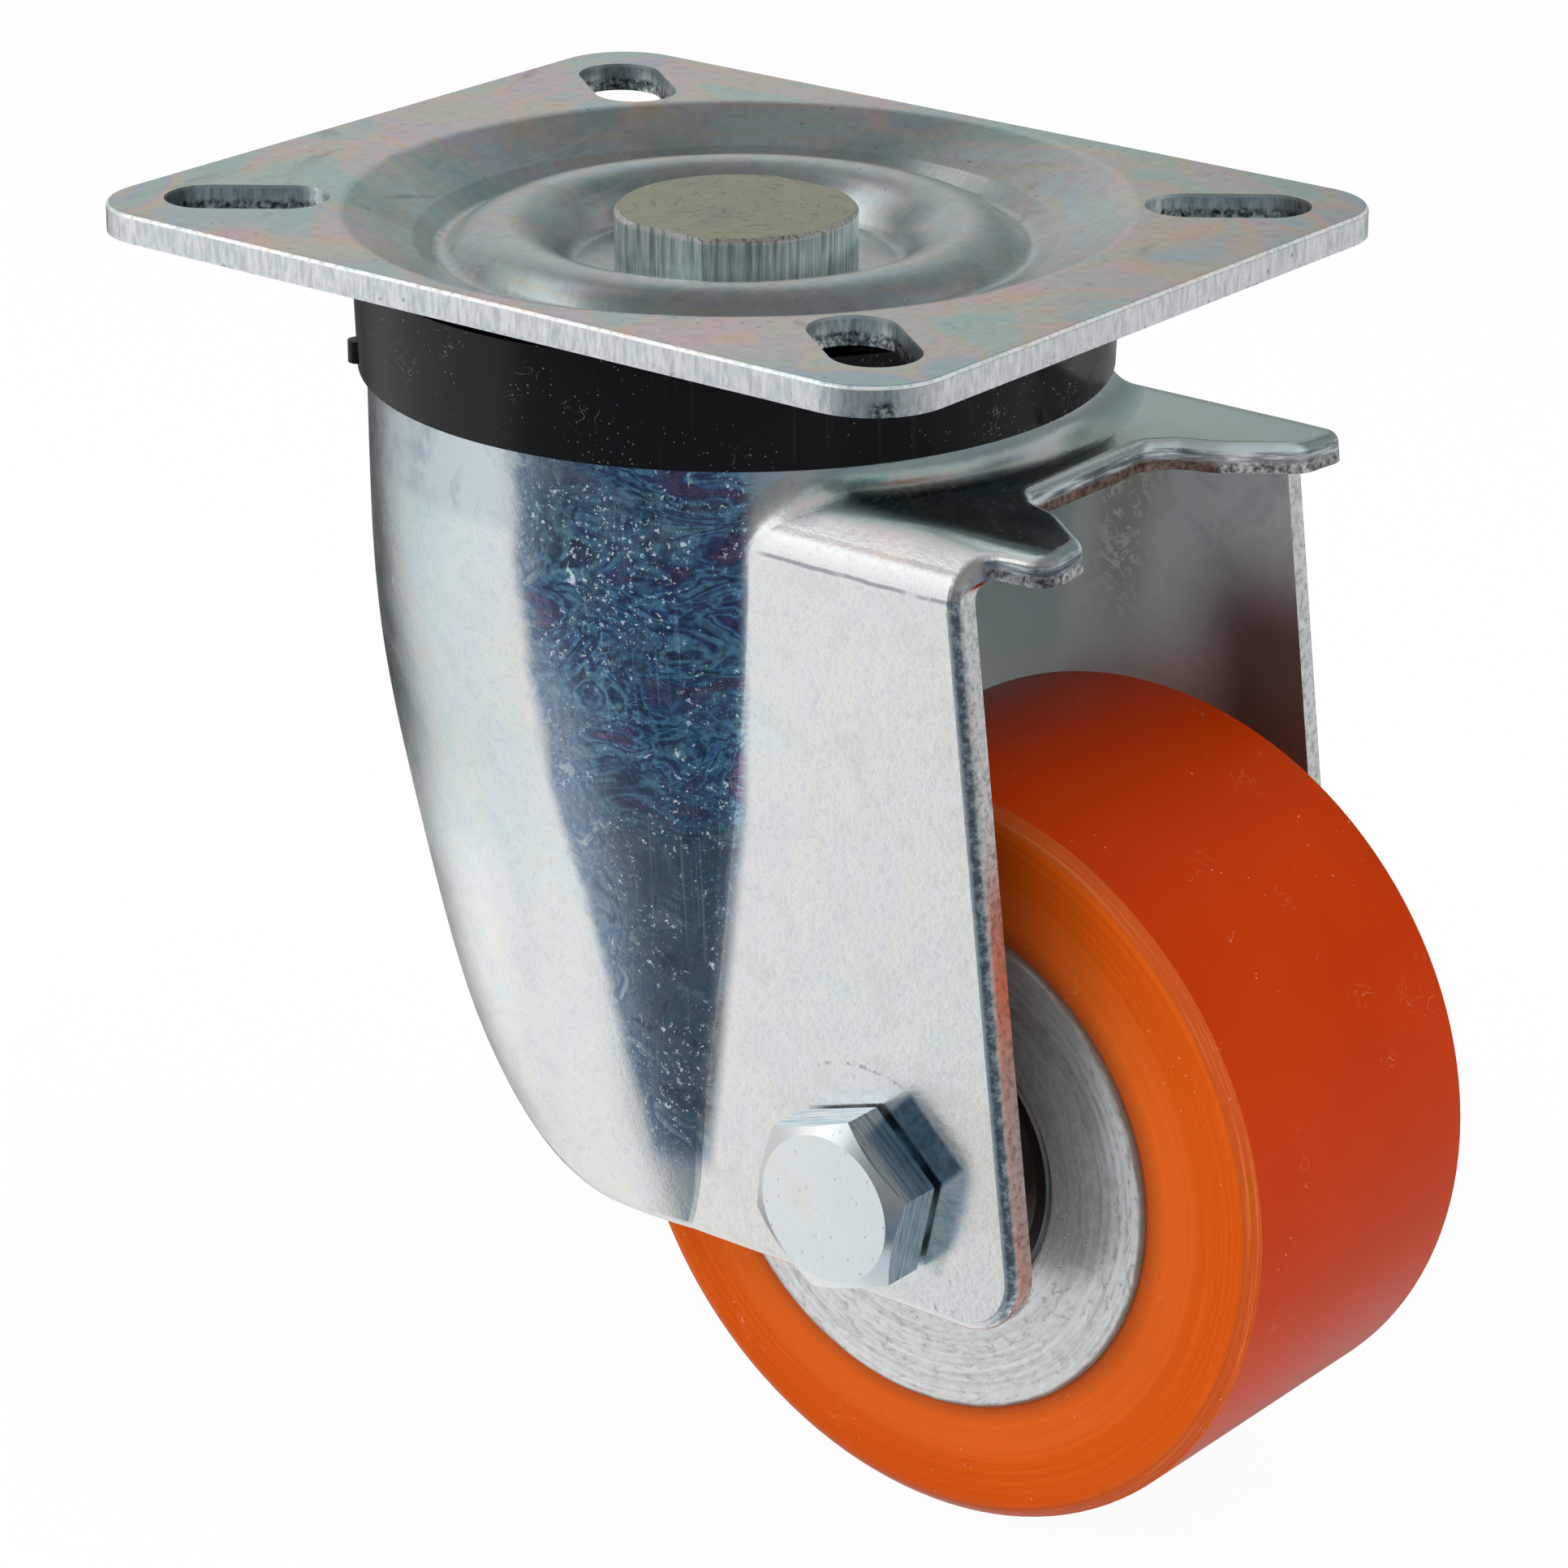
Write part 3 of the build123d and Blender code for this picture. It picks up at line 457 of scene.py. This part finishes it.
def fork_zinc():
    made, g = material("fork zinc, bright")
    where = g.where()
    x, y, z = g.axes(where)
    nx, ny, nz = own_normal(g)
    out = g.abs(y)
    at = SimpleNamespace(where=where, x=x, y=y, z=z, nx=nx, ny=ny, nz=nz, out=out)
    cloud = g.noise(where, 42.0, 4.0, 0.6, 0.8)
    haze = g.noise(where, 150.0, 4.0, 0.65, 0.6)
    base = g.ramp(cloud, (0.32, (0.84, 0.93, 0.96)), (0.42, (0.92, 0.94, 0.92)), (0.50, (0.91, 0.91, 0.93)),
                  (0.57, (0.95, 0.93, 0.88)), (0.68, (0.86, 0.94, 0.94)))
    base = g.mix(1.0, base,
                 g.ramp(haze, (0.34, (0.90, 0.94, 0.95)), (0.50, 1.0), (0.66, (0.97, 0.96, 0.95))),
                 "MULTIPLY")
    worn_back = g.mul(g.step(x, 0.0000, -0.0120), g.step(z, -0.050, -0.068))
    base = g.mix(g.mul(g.step(x, 0.0060, -0.0040), g.step(z, -0.080, -0.050), 0.8), base,
                 (0.80, 0.90, 0.93), "MULTIPLY")
    peel = g.noise(where, 1300.0, 3.0, 0.75)
    base = g.mix(1.0, base,
                 g.ramp(peel, (0.36, (0.88, 0.90, 0.92)), (0.48, 1.0), (0.62, (0.95, 0.96, 0.96))),
                 "MULTIPLY")
    crown = g.max(g.mul(g.step(x, 0.014, 0.026), g.step(nz, 0.80, 0.97)),
                  g.mul(g.step(x, 0.022, 0.032), g.step(out, 0.0262, 0.0225)))
    crown = g.mul(g.step(z, -0.0245, -0.0195), crown)
    base = g.mix(g.mul(crown, 0.85), base,
                 g.ramp(cloud, (0.36, (0.46, 0.68, 0.73)), (0.60, (0.58, 0.75, 0.74))))
    # painted shade: the back of the crown, just under the plate and dust ring, is made a darker, bluer grey
    shade_under_plate = g.mul(g.step(g.add(z, g.mul(haze, 0.004)), -0.0240, -0.0212), g.step(x, 0.016, 0.008))
    base = g.mix(g.mul(shade_under_plate, 0.70), base,
                 g.ramp(haze, (0.42, (0.36, 0.47, 0.54)), (0.56, (0.62, 0.72, 0.78))))
    base, band = oxide_film_and_painted_reflection(g, at, cloud, haze, base)
    deposit = pale_deposits(g, at, band)
    base = g.mix(deposit, base, (0.54, 0.62, 0.66))
    base = bolt_reflections_and_marks(g, at, base)
    base, raised = bend_crease(g, at, cloud, haze, base)
    base, inner, deep = inner_faces(g, at, cloud, haze, base)
    base, cut, relief = sheared_edges(g, at, base)
    # near shelf and ear: rounded off towards the bend, and duller
    shelf_top = g.mul(g.step(nz, 0.55, 0.92), g.step(x, 0.024, 0.034), g.step(y, -0.008, -0.014))
    shelf_top = g.mul(shelf_top, g.step(g.add(out, g.mul(cloud, 0.003)), 0.0235, 0.0275))
    lean = g.mul(shelf_top, 0.55)
    tilted = g.put("VectorTransform", {0: g.join(nx, g.sub(ny, lean), nz)}, vector_type="NORMAL",
                   convert_from="OBJECT", convert_to="WORLD").outputs[0]
    dull_inside = g.mul(inner, g.add(0.50, g.mul(deep, 0.25)))
    metal = g.sub(1.0, g.max(deposit, g.mul(shelf_top, 0.25), dull_inside, g.mul(worn_back, 0.55)))
    rough = g.range(haze, 0.3, 0.7, 0.17, 0.25)
    rough = g.add(rough, g.mul(deposit, 0.4), g.mul(inner, 0.20), g.mul(cut, 0.24))
    height = g.add(g.mul(peel, 2.4), relief, g.mul(raised, 9.0))
    g.surface(Base_Color=base, Metallic=metal, Roughness=rough,
              Normal=g.bump(height, depth=0.00001, normal=tilted))
    return made


def bolt_zinc():
    made, g = material("bolt zinc, blue passivated")
    where = g.where()
    flank = g.step(g.abs(own_normal(g)["Y"]), 0.6, 0.4)
    cloud = g.noise(where, 120.0, 4.0, 0.6)
    base = g.ramp(cloud, (0.36, (0.84, 0.92, 0.94)), (0.54, (0.93, 0.98, 0.99)), (0.70, (0.95, 0.96, 0.87)))
    rolled = g.noise(g.stretch(where, (150, 3200, 150)), 1.0, 4.0, 0.65)
    base = g.mix(g.mul(flank, 0.90), base,
                 g.ramp(rolled, (0.38, (0.26, 0.46, 0.62)), (0.48, (0.66, 0.86, 0.96)),
                        (0.58, (1.0, 1.0, 1.0))))
    grain = g.noise(where, 1500.0, 4.0, 0.7)
    pits = speckle(g, where, 800.0, 0.07, 0.16)
    base = g.mix(g.mul(pits, 0.35), base, (0.50, 0.52, 0.50))
    height = g.sub(g.add(grain, g.mul(flank, rolled, 1.5)), pits)
    g.surface(Base_Color=base, Metallic=1.0, Roughness=g.range(cloud, 0.3, 0.7, 0.20, 0.28),
              Normal=g.bump(height, depth=0.00001))
    return made


def plain_steel(name, shade, smooth, rough):
    """A plain turned or pressed steel piece, between two roughnesses."""
    made, g = material(name)
    where = g.where()
    cloud = g.noise(where, 120.0, 3.0, 0.6)
    darker = tuple(0.75 * s for s in shade)
    base = g.ramp(cloud, (0.35, darker), (0.65, shade))
    grain = g.noise(where, 2500.0, 2.0, 0.6)
    g.surface(Base_Color=base, Metallic=1.0, Roughness=g.range(cloud, 0.3, 0.7, smooth, rough),
              Normal=g.bump(grain, depth=0.00001))
    return made


def black_plastic():
    made, g = material("black plastic, glossy")
    where = g.where()
    cloud = g.noise(where, 60.0, 3.0, 0.6)
    dust = g.mul(speckle(g, where, 1500.0, 0.05, 0.16), g.step(g.noise(where, 170.0, 3.0), 0.46, 0.58))
    dust = g.max(dust,
                 g.mul(speckle(g, where, 560.0, 0.03, 0.09), g.step(g.noise(where, 90.0), 0.50, 0.60)))
    lint = g.mul(wandering(g, where, 260.0, 0.004, 3.0), g.step(g.noise(where, 170.0, 2.0), 0.64, 0.70))
    lines = hairs(g, where, (0.2, 0.1, 0.9), 2600.0, 0.60, 0.66)
    wipes = g.mul(g.noise(g.stretch(where, (160, 160, 900)), 1.0, 3.0, 0.6), g.step(cloud, 0.44, 0.62))
    base = g.mix(g.mul(dust, 0.55), (0.0065, 0.0065, 0.0070), (0.40, 0.40, 0.40))
    base = g.mix(g.mul(lint, 0.5), base, (0.50, 0.50, 0.50))
    base = g.mix(g.mul(lines, 0.05), base, (0.12, 0.12, 0.12))
    rough = g.add(g.range(cloud, 0.3, 0.7, 0.10, 0.18), g.mul(g.add(lines, wipes), 0.08))
    height = g.add(g.noise(where, 240.0, 3.0, 0.5), g.mul(g.noise(where, 1500.0, 3.0), 0.4))
    g.surface(Base_Color=base, Roughness=rough, Specular_IOR_Level=0.20,
              Normal=g.bump(height, depth=0.000018))
    return made


def around_axle(g, where):
    """Distance from the axle's line, angle round it and place along it."""
    x, y, z = g.axes(where)
    across, up = g.sub(x, AXLE_X), g.sub(z, AXLE_Z)
    radius = g.radius(across, up)
    angle = g.math("ARCTAN2", up, across)
    return radius, angle, y


def orange_tread():
    made, g = material("polyurethane, orange")
    where = g.where()
    radius, angle, along = around_axle(g, where)
    slant = g.abs(own_normal(g)["Y"])
    cloud = g.noise(where, 28.0, 3.0, 0.5)
    base = g.ramp(cloud, (0.35, (0.425, 0.030, 0.0002)), (0.65, (0.49, 0.037, 0.0004)))
    side = g.step(slant, 0.80, 0.97)
    ring = turned_path(g, radius, angle, 2300.0, 0.9)
    rings = g.noise(ring, 1.0, 4.0, 0.6)
    base = g.mix(g.mul(side, g.range(rings, 0.3, 0.7, 0.52, 0.80)), base, (0.84, 0.138, 0.008))
    bands = g.noise(ring, 0.16, 2.0, 0.5)
    base = g.mix(g.mul(side, g.step(bands, 0.44, 0.64), 0.20), base, (0.60, 0.060, 0.004))
    base = g.mix(g.mul(side, g.step(radius, 0.0345, 0.0315), 0.35), base, (0.92, 0.190, 0.030))
    seam = g.mul(g.step(radius, CORE_RADIUS + 0.0025, CORE_RADIUS + 0.0001), side)
    base = g.mix(g.mul(seam, 0.50), base, (0.26, 0.050, 0.018))
    groove = g.abs(g.sub(radius, g.add(GROOVE_RADIUS, g.mul(g.noise(ring, 0.3, 2.0), 0.0006))))
    groove = g.mul(side, g.step(groove, 0.00022, 0.00006))
    strands = g.noise(g.join(g.mul(radius, 5200.0), g.mul(angle, 2.0), g.mul(along, 5200.0)), 1.0, 3.0, 0.6)
    # painted highlight: a lighter orange strip with streaks along the shoulder bevel
    bevel_painted_highlight = g.mul(g.step(slant, 0.20, 0.50), g.step(slant, 0.98, 0.86),
                  g.step(radius, TREAD_RADIUS - 0.003, TREAD_RADIUS - 0.002))
    base = g.mix(g.mul(bevel_painted_highlight, g.add(0.25, g.mul(g.step(strands, 0.50, 0.66), 0.35))), base,
                 (0.90, 0.26, 0.07))
    specks = g.mul(speckle(g, where, 760.0, 0.035, 0.11), g.step(g.noise(where, 130.0, 3.0), 0.54, 0.64))
    lint = g.mul(wandering(g, where, 190.0, 0.004, 3.0), g.step(g.noise(where, 150.0, 2.0), 0.62, 0.67))
    base = g.mix(g.mul(g.max(specks, g.mul(lint, 0.7)), 0.55), base, (0.86, 0.55, 0.36))
    # painted shade: darker orange brown in the fine groove
    base = g.mix(g.mul(groove, 0.6), base, (0.34, 0.05, 0.01))
    rough = g.add(g.range(cloud, 0.3, 0.7, 0.30, 0.38), g.mul(side, 0.08))
    fine = g.noise(where, 900.0, 3.0, 0.6)
    height = g.add(g.mul(side, rings, 0.6), g.mul(fine, 0.35))
    height = g.sub(height, g.mul(groove, 2.0))
    height = g.add(height, g.mul(bevel_painted_highlight, strands, 2.0))
    g.surface(Base_Color=base, Roughness=rough, IOR=1.5, Specular_IOR_Level=0.10,
              Specular_Tint=(1.0, 0.38, 0.05, 1.0), Normal=g.bump(height, depth=0.00002))
    return made


def core_metal():
    made, g = material("wheel core, turned metal")
    where = g.where()
    radius, angle, _ = around_axle(g, where)
    rings = g.noise(turned_path(g, radius, angle, 1900.0, 0.8), 1.0, 3.0, 0.65)
    tears = g.noise(turned_path(g, radius, angle, 1500.0, 15.0), 1.0, 4.0, 0.7, 0.6)
    pits = g.step(tears, 0.42, 0.35)
    base = g.ramp(g.add(g.mul(rings, 0.5), g.mul(tears, 0.5)), (0.40, (0.66, 0.66, 0.65)),
                  (0.50, (0.86, 0.86, 0.86)), (0.58, (0.98, 0.98, 0.98)))
    base = g.mix(g.mul(pits, 0.28), base, (0.42, 0.40, 0.38))
    joint = g.step(g.add(radius, g.mul(g.noise(where, 300.0, 3.0), 0.0006)), CORE_RADIUS - 0.0004,
                   CORE_RADIUS + 0.0002)
    base = g.mix(g.mul(joint, 0.9), base, (0.13, 0.065, 0.035))
    height = g.sub(g.add(rings, g.mul(tears, 1.6)), g.mul(pits, 0.8))
    g.surface(Base_Color=base, Metallic=g.sub(0.74, g.mul(joint, 0.6)),
              Roughness=g.range(tears, 0.3, 0.7, 0.26, 0.38), Normal=g.bump(height, depth=0.00002))
    return made


def nylon():
    made, g = material("nylon, off white")
    where = g.where()
    cloud = g.noise(where, 200.0, 3.0)
    base = g.ramp(cloud, (0.35, (0.58, 0.60, 0.56)), (0.65, (0.70, 0.71, 0.66)))
    g.surface(Base_Color=base, Roughness=0.45, Normal=g.bump(g.noise(where, 1500.0), depth=0.00002))
    return made


def cage_plastic():
    made, g = material("bearing cage, dark plastic")
    where = g.where()
    base = g.ramp(g.noise(where, 300.0), (0.35, (0.020, 0.019, 0.018)), (0.65, (0.035, 0.032, 0.030)))
    g.surface(Base_Color=base, Roughness=0.45, Normal=g.bump(g.noise(where, 1500.0), depth=0.00002))
    return made


finishes = {
    "plate_zinc": plate_zinc(),
    "kingpin_steel": kingpin_steel(),
    "cup_steel": plain_steel("race cup steel, zinc plated", (0.72, 0.75, 0.72), 0.28, 0.40),
    "nut_zinc": plain_steel("kingpin nut steel, zinc plated", (0.78, 0.80, 0.76), 0.25, 0.38),
    "ball_steel": plain_steel("ball steel, polished", (0.80, 0.80, 0.80), 0.06, 0.12),
    "black_plastic": black_plastic(),
    "fork_zinc": fork_zinc(),
    "bolt_zinc": bolt_zinc(),
    "nylon": nylon(),
    "bush_steel": plain_steel("bush steel", (0.62, 0.62, 0.60), 0.28, 0.42),
    "core_metal": core_metal(),
    "orange_tread": orange_tread(),
    "bearing_steel": plain_steel("bearing ring steel", (0.34, 0.33, 0.31), 0.16, 0.26),
    "cage_plastic": cage_plastic(),
    "shield_sheet": plain_steel("bearing shield sheet", (0.42, 0.40, 0.36), 0.26, 0.40),
}

for piece in nodes.values():
    for slot in piece.material_slots:
        slot.material = finishes[slot.material.name.split(".")[0]]

# ------------------------------------------------------------------ floor, camera and light

FLOOR_REACH = 3.0
FLOOR_GLOW = 0.965              # share of white that hides the floor and still leaves the castor's shadow
mesh = bpy.data.meshes.new("floor")
corners = [(a * FLOOR_REACH, b * FLOOR_REACH, FLOOR_Z) for a, b in ((-1, -1), (1, -1), (1, 1), (-1, 1))]
mesh.from_pydata(corners, [], [(0, 1, 2, 3)])
floor = bpy.data.objects.new("floor", mesh)
bpy.context.scene.collection.objects.link(floor)
made, g = material("floor, white")
own = g.put("Emission", {"Color": colour(1.0), "Strength": 1.0}).outputs[0]
paint = g.put("BsdfDiffuse", {"Color": colour(0.9)}).outputs[0]
rays = g.put("LightPath").outputs
seen = g.max(rays["Is Camera Ray"], rays["Is Glossy Ray"], rays["Is Transmission Ray"])
blend = g.put("MixShader", {0: g.mul(seen, FLOOR_GLOW), 1: paint, 2: own}).outputs[0]
g.tree.links.new(blend, g.put("OutputMaterial").inputs[0])
mesh.materials.append(made)
floor.visible_glossy = False

VIEW_AZIMUTH = math.radians(38.804)
VIEW_ELEVATION = math.radians(21.699)
CAMERA_PLACE = (0.33879, -0.41355, 0.14884)
back = Vector((math.sin(VIEW_AZIMUTH) * math.cos(VIEW_ELEVATION),
               -math.cos(VIEW_AZIMUTH) * math.cos(VIEW_ELEVATION), math.sin(VIEW_ELEVATION)))
right = Vector((math.cos(VIEW_AZIMUTH), math.sin(VIEW_AZIMUTH), 0.0))
up = back.cross(right)
lens = bpy.data.cameras.new("camera")
lens.lens = 124.40
lens.sensor_width = 36.0
lens.clip_start = 0.01
camera = bpy.data.objects.new("camera", lens)
bpy.context.scene.collection.objects.link(camera)
camera.matrix_world = Matrix.Translation(CAMERA_PLACE) @ Matrix((right, up, back)).transposed().to_4x4()
bpy.context.scene.camera = camera


LAMP_DISTANCE = 0.9
LAMP_SIZE = 0.7
MIDDLE = Vector((0.010, 0.0, -0.060))


def lamp(name, azimuth, elevation, power):
    """A square soft box that faces the castor's middle. The metal mirrors the world's rows instead of it."""
    data = bpy.data.lights.new(name, "AREA")
    data.size = LAMP_SIZE
    data.energy = power
    made = bpy.data.objects.new(name, data)
    bpy.context.scene.collection.objects.link(made)
    azimuth, elevation = math.radians(azimuth), math.radians(elevation)
    toward = Vector((math.cos(azimuth) * math.cos(elevation), math.sin(azimuth) * math.cos(elevation),
                     math.sin(elevation)))
    facing = toward.to_track_quat("Z", "Y").to_matrix().to_4x4()
    made.matrix_world = Matrix.Translation(MIDDLE + toward * LAMP_DISTANCE) @ facing
    made.visible_glossy = False


lamp("key soft box", -135, 25, 4.2)
lamp("fill soft box", 10, 20, 3.0)
lamp("top soft box", 60, 75, 1.6)

world = bpy.data.worlds.new("studio")
bpy.context.scene.world = world
g = Graph(world)
toward = g.put("TexCoord").outputs["Generated"]
x, y, z = g.axes(toward)
turn = g.add(g.math("DIVIDE", g.math("ARCTAN2", y, x), 2 * math.pi), 0.5)
rise = g.mul(g.math("ARCSINE", z), 180 / math.pi)


def round_ramp(*stops):
    """Stops by compass angle in degrees, -180 to 180."""
    return g.ramp(turn, *[((angle + 180) / 360, shade) for angle, shade in stops])


# What the metal mirrors, in rows from the floor up: a tall soft box on the left, a dark room elsewhere.
# Each row has its height and then its stops, both in degrees.
rows = (
    (-50, ((-180, 0.80), (-140, 0.80), (-125, 0.68), (-60, (0.50, 0.56, 0.60)), (0, 0.66), (60, 0.76),
           (180, 0.80))),
    (-42, ((-180, 0.80), (-140, 0.80), (-125, 0.70), (-60, (0.45, 0.52, 0.56)), (0, 0.60), (60, 0.76),
           (180, 0.80))),
    (-36, ((-180, 0.82), (-150, 0.86), (-140, 0.86), (-130, 0.80), (-122, (0.34, 0.42, 0.46)),
           (-114, (0.14, 0.18, 0.22)), (-90, (0.06, 0.10, 0.15)), (-60, 0.10), (0, 0.30), (60, 0.60),
           (110, 0.50), (128, 0.22), (140, 0.14), (158, 0.18), (172, 0.60), (180, 0.82))),
    (-25, ((-180, 0.70), (-150, 0.86), (-127, 0.90), (-123, 0.60), (-118, (0.20, 0.26, 0.30)),
           (-90, (0.09, 0.17, 0.24)), (-60, (0.12, 0.17, 0.22)), (-20, (0.22, 0.32, 0.38)),
           (0, (0.34, 0.40, 0.42)), (30, 0.46), (50, 0.60), (70, 0.90), (90, 0.40), (118, 0.36),
           (132, 0.14), (142, 0.06), (158, 0.08), (170, 0.46), (180, 0.74))),
    (-10, ((-180, 0.55), (-150, 0.72), (-130, 0.88), (-122, 0.84), (-114, 0.30), (-100, 0.20),
           (-60, 0.18), (0, 0.24), (30, 0.42), (50, 0.60), (70, 0.80), (85, 0.35), (125, 0.24),
           (145, 0.14), (162, 0.20), (180, 0.55))),
    (12, ((-180, 0.30), (-160, 0.60), (-145, 0.90), (-128, 1.05), (-118, 0.95), (-108, 0.30), (-60, 0.20),
          (0, 0.30), (40, 0.28), (60, 0.22), (90, 0.22), (108, (0.19, 0.23, 0.23)),
          (119, (0.25, 0.28, 0.27)), (129, (0.52, 0.51, 0.49)), (150, 0.50), (165, 0.36), (180, 0.30))),
    (30, ((-180, 0.28), (-165, 0.55), (-150, 1.05), (-140, 1.15), (-115, 1.15), (-100, 0.60), (-85, 0.30),
          (-50, 0.20), (0, 0.30), (48, 0.22), (60, 0.38), (72, 0.20), (105, (0.27, 0.31, 0.31)),
          (130, (0.48, 0.51, 0.51)), (145, 0.46), (158, 0.32), (180, 0.28))),
    (50, ((-180, 0.85), (-165, 0.95), (-150, 1.05), (-125, 0.95), (-105, 0.40), (-50, 0.20), (0, 0.20),
          (45, 0.18), (60, 0.30), (75, 0.18), (120, (0.17, 0.20, 0.20)), (148, 0.22), (160, 0.60),
          (170, 0.85), (180, 0.85))),
    (58, ((-180, 0.22), (-150, 0.26), (-120, 0.18), (0, 0.15), (180, 0.22))),
    (76, ((-180, 0.16), (0, 0.16), (180, 0.16))),
)
studio = None
for place, (height, stops) in enumerate(rows):
    row = round_ramp(*stops)
    if studio is None:
        studio = row
    else:
        studio = g.mix(g.range(rise, rows[place - 1][0], height, 0.0, 1.0), studio, row)

# The rows are for mirror rays. Other rays find even light, and the camera finds white.
EVEN_LIGHT = 0.58
rays = g.put("LightPath").outputs
even = g.put("Background", {0: colour(EVEN_LIGHT), 1: 1.0}).outputs[0]
mirrored = g.put("Background", {0: studio, 1: 1.0}).outputs[0]
white = g.put("Background", {0: colour(1.0), 1: 1.0}).outputs[0]
lit = g.put("MixShader", {0: rays["Is Glossy Ray"], 1: even, 2: mirrored}).outputs[0]
seen = g.max(rays["Is Camera Ray"], rays["Is Transmission Ray"])
lit = g.put("MixShader", {0: seen, 1: lit, 2: white}).outputs[0]
g.tree.links.new(lit, g.put("OutputWorld").inputs[0])

bpy.context.scene.view_settings.view_transform = "Standard"
